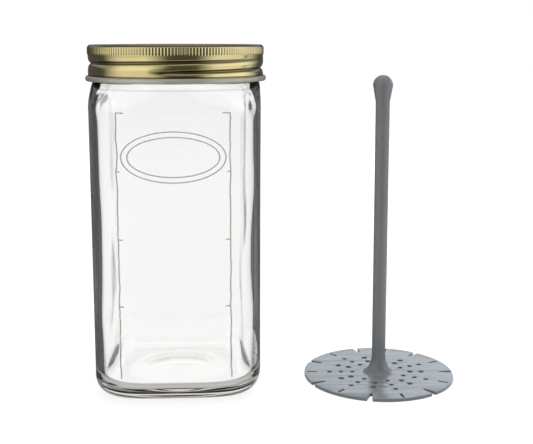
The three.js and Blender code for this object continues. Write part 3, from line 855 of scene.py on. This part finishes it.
# Bare tin: satin and warm grey, with the fine streaks that rolling left round the sheet, drawn
# coarser than the real ones so that they show.
tin = opaque(
    "bare_tinplate", light="#aeaba0", dark="#a09d92", size=9 * MM, rough=(0.42, 0.52),
    bump_size=1.2 * MM, bump_height=0.003 * MM, stretch=(1, 1, 8), **{"Metallic": 0.75},
)
band = finish_mesh("screw_band_rolled", bm, lacquer, tin)
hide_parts("screw_band")
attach(band, "band")

# The strainer plate: grey plastic 1.6 mm thick, moulded in one shot with its seven open notches,
# seven closed slots and 35 holes. Its arrises are softened by the mould, and its faces are satin.

STEM_LOW, STEM_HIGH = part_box("lifter_stem")
LIFTER_X = (STEM_LOW.x + STEM_HIGH.x) / 2
LIFTER_Y = (STEM_LOW.y + STEM_HIGH.y) / 2
PLATE_RADIUS = 38.7 * MM
PLATE_THICKNESS = 1.6 * MM
PLATE_EDGE = 0.22 * MM
PLATE_TURN = -2.6
SECTORS = 7
NOTCH_INNER = 31.8 * MM
NOTCH_ROOT = 1.0 * MM
NOTCH_MOUTH = 2.8 * MM
SLOT_INNER = 32.2 * MM
SLOT_OUTER = 37.4 * MM
SLOT_WIDTH = 1.2 * MM
WIDE_HOLES = [0.43 * PLATE_RADIUS, 0.58 * PLATE_RADIUS]
WIDE_HOLE = 1.45 * MM
FINE_HOLES = [share * PLATE_RADIUS for share in (0.353, 0.508, 0.663)]
FINE_HOLE = 1.2 * MM
SEAT_RADIUS = 4.5 * MM
HOLE_SIDES, SEAT_SIDES = 20, 48
ARC_STEPS = 24
PLATE_SHARP = 20


def polar(angle, r, side=0.0):
    """A place at an angle and a radius, moved sideways from that angle's line."""
    return (r * cos(angle) - side * sin(angle), r * sin(angle) + side * cos(angle))


def circle(angle, r, radius, count=HOLE_SIDES):
    """The outline of a round hole at an angle and a radius."""
    x, y = polar(angle, r)
    turns = [2 * pi * i / count for i in range(count)]
    return [(x + radius * cos(t), y + radius * sin(t)) for t in turns]


outline, holes = [], [circle(0, 0, SEAT_RADIUS, SEAT_SIDES)]
sector = 2 * pi / SECTORS
mouth_angle = NOTCH_MOUTH / 2 / PLATE_RADIUS
for i in range(SECTORS):
    notch, slot = sector * i, sector * (i + 0.5)
    outline.append(polar(notch, NOTCH_INNER, -NOTCH_ROOT / 2))
    outline.append(polar(notch, NOTCH_INNER, NOTCH_ROOT / 2))
    for j in range(ARC_STEPS + 1):
        share = j / ARC_STEPS
        angle = notch + mouth_angle + (sector - 2 * mouth_angle) * share
        outline.append(polar(angle, PLATE_RADIUS))
    holes += [circle(notch, r, WIDE_HOLE) for r in WIDE_HOLES]
    holes += [circle(slot, r, FINE_HOLE) for r in FINE_HOLES]
    half = SLOT_WIDTH / 2
    corners = [(SLOT_INNER, -half), (SLOT_OUTER, -half), (SLOT_OUTER, half), (SLOT_INNER, half)]
    holes.append([polar(slot, r, side) for r, side in corners])

flat = bpy.data.curves.new("plate_outline", "CURVE")
flat.dimensions = "2D"
flat.fill_mode = "BOTH"
flat.extrude = PLATE_THICKNESS / 2 - PLATE_EDGE
flat.bevel_depth = PLATE_EDGE
flat.bevel_resolution = 2
flat.offset = -PLATE_EDGE
for points in [outline, *holes]:
    spline = flat.splines.new("POLY")
    spline.points.add(len(points) - 1)
    spline.use_cyclic_u = True
    for point, (x, y) in zip(spline.points, points):
        point.co = (x, y, 0, 1)
blank = bpy.data.objects.new("plate_outline", flat)
scene.collection.objects.link(blank)
bpy.context.view_layer.update()
view = blank.evaluated_get(bpy.context.evaluated_depsgraph_get())
plate_mesh = bpy.data.meshes.new_from_object(view)
bpy.data.objects.remove(blank)
bm = bmesh.new()
bm.from_mesh(plate_mesh)
bmesh.ops.remove_doubles(bm, verts=bm.verts, dist=MERGE_GAP)
bmesh.ops.recalc_face_normals(bm, faces=bm.faces)
turned = Matrix.Rotation(radians(PLATE_TURN), 3, "Z")
bmesh.ops.rotate(bm, verts=bm.verts, cent=(0, 0, 0), matrix=turned)
bmesh.ops.translate(bm, verts=bm.verts, vec=(LIFTER_X, LIFTER_Y, PLATE_THICKNESS / 2))

# Satin grey plastic: a filled polypropylene, moulded against a spark-eroded steel face that gives
# it a fine even grain and a soft sheen, with a slight drift in the grey. The grain is drawn at half
# a millimetre, coarser than the real one, so that it shows.
plastic = opaque(
    "moulded_satin_polypropylene", light="#7a7d80", dark="#77797c", size=60 * MM,
    rough=(0.30, 0.305), bump_size=0.5 * MM, bump_height=0.001 * MM,
)
plate = finish_mesh("strainer_plate_moulded", bm, plastic)
plate.data.set_sharp_from_angle(angle=radians(PLATE_SHARP))
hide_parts("strainer_plate")
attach(plate, "lifter")

# The lifter stem: the same satin grey plastic, a round rod with a ball knob on a conical neck and
# a trumpet foot, staked through the middle of the plate.

SPIGOT_RADIUS = 3.3 * MM
STAKE_RADIUS = 4.2 * MM
STAKE_HEIGHT = 0.3 * MM
STEM_LOW_RADIUS = 3.5 * MM
STEM_HIGH_RADIUS = 3.55 * MM
FOOT_RADIUS = 8.9 * MM
FOOT_LIP = 0.04 * MM
FLARE_HEIGHT = 10.5 * MM
KNOB_RADIUS = 5.03 * MM
KNOB_NECK = 8.6 * MM
KNOB_NECK_ANGLE = -14
STEM_STEPS = 96
STEM_ROW = 12 * MM
FLARE_STEPS, KNOB_STEPS = 20, 20
STEM_SHARP = 40

stake_top = STEM_LOW.z + STAKE_HEIGHT
foot_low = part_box("strainer_plate")[1].z
flare_high = foot_low + FOOT_LIP + FLARE_HEIGHT
knob_z = STEM_HIGH.z - KNOB_RADIUS
flare = FOOT_RADIUS - STEM_LOW_RADIUS
neck_low = knob_z - KNOB_NECK
profile = [
    (0, STEM_LOW.z, ROUND),
    (STAKE_RADIUS, STEM_LOW.z, ROUND),
    (STAKE_RADIUS, stake_top, ROUND),
    (SPIGOT_RADIUS, stake_top + STAKE_RADIUS - SPIGOT_RADIUS, ROUND),
    (SPIGOT_RADIUS, foot_low, ROUND),
    (FOOT_RADIUS, foot_low, ROUND),
    *bend(FOOT_RADIUS, flare_high, flare, FLARE_HEIGHT, 270, 180, FLARE_STEPS, ROUND),
    *rise(STEM_LOW_RADIUS, flare_high, STEM_HIGH_RADIUS, neck_low, STEM_ROW, ROUND),
    (STEM_HIGH_RADIUS, neck_low, ROUND),
    *bend(0, knob_z, KNOB_RADIUS, KNOB_RADIUS, KNOB_NECK_ANGLE, 90, KNOB_STEPS, ROUND)[:-1],
    (0, STEM_HIGH.z, ROUND),
]
bm, wall_layer = turn_profile(profile, STEM_STEPS, LIFTER_X, LIFTER_Y)
stem = finish_mesh("lifter_stem_moulded", bm, plastic)
stem.data.set_sharp_from_angle(angle=radians(STEM_SHARP))
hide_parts("lifter_stem")
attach(stem, "lifter")

# Two lamps are screened off: the one behind reaches only the strainer and the floor, and the one in
# front reaches only the screw band.
for lamp, lit_pieces in ((lamp_behind, (floor, plate, stem)), (lamp_front, (band,))):
    screened = bpy.data.collections.new(lamp.name + "_reach")
    for piece in lit_pieces:
        screened.objects.link(piece)
    lamp.light_linking.receiver_collection = screened
